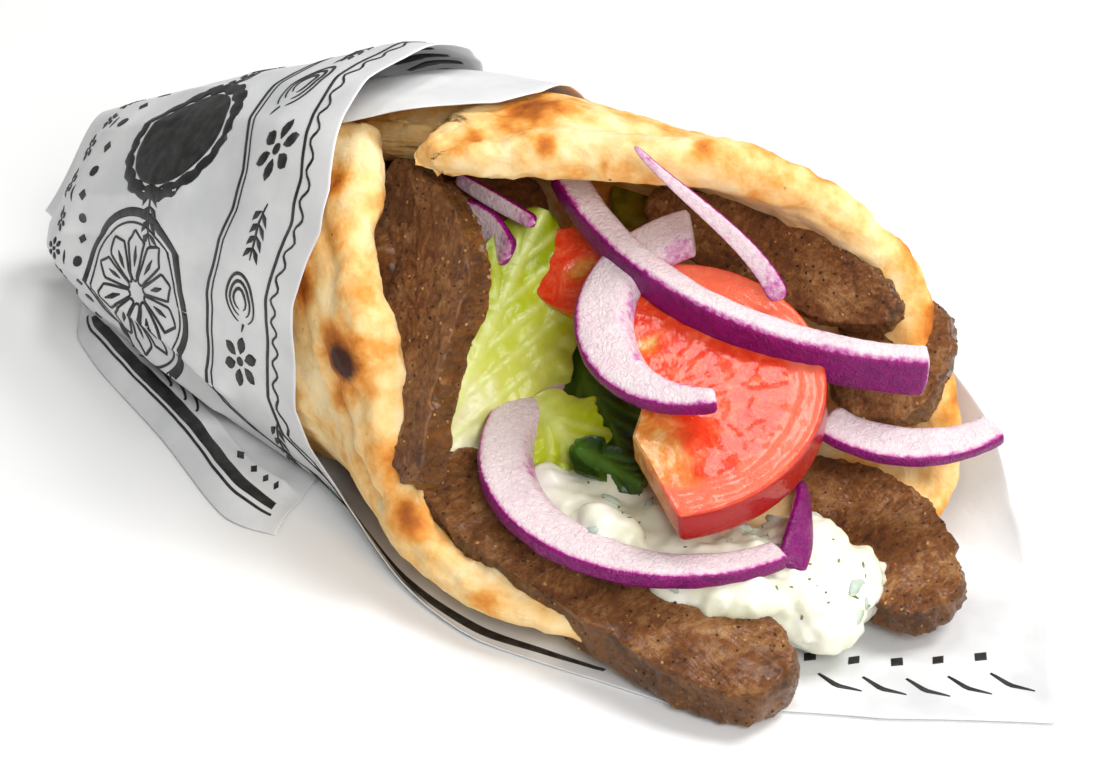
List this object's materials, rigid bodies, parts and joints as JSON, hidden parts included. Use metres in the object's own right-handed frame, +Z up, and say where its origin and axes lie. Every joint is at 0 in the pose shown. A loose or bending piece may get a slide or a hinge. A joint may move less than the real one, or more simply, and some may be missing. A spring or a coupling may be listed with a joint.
{
  "type": "gyro wrap",
  "caption": "Gyro wrap lying in a printed paper cone: rolled pita with sliced meat, tomato, red onion, lettuce and yogurt sauce.",
  "frame": {"origin": "middle of the bounding box on the surface the wrap lies on", "axes": "+X along the roll from the closed paper end toward the open mouth, +Z up, the near side of the roll toward -Y"},
  "size_m": [0.268, 0.102, 0.0882],
  "materials": {
    "printed_paper": "matte, thin, printed in black",
    "pita_bread": "dry baked crust with toasted spots",
    "gyro_meat": "grilled, slightly greasy",
    "packed_filling": "moist",
    "red_onion": "moist, translucent",
    "tomato": "wet cut face",
    "lettuce": "waxy leaf",
    "dark_leaf": "waxy leaf",
    "pepper_slice": "moist",
    "yogurt_sauce": "smooth, wet"
  },
  "bodies": {
    "root": {"paper": "printed_paper", "pita": "pita_bread", "onion_arc": "red_onion", "onion_ring_front": "red_onion", "onion_right": "red_onion", "onion_ring_back": "red_onion", "onion_strip": "red_onion", "onion_sliver": "red_onion", "onion_inner": "red_onion", "onion_under": "red_onion", "tomato_front": "tomato", "tomato_back": "tomato", "meat_near": "gyro_meat", "meat_front": "gyro_meat", "meat_right": "gyro_meat", "meat_back": "gyro_meat", "meat_far": "gyro_meat", "pepper_slice": "pepper_slice", "lettuce_leaf": "lettuce", "lettuce_heart": "lettuce", "leaf_dark": "dark_leaf", "leaf_dark_low": "dark_leaf", "filling_core": "packed_filling", "yogurt_sauce": "yogurt_sauce"}
  },
  "joints": []
}
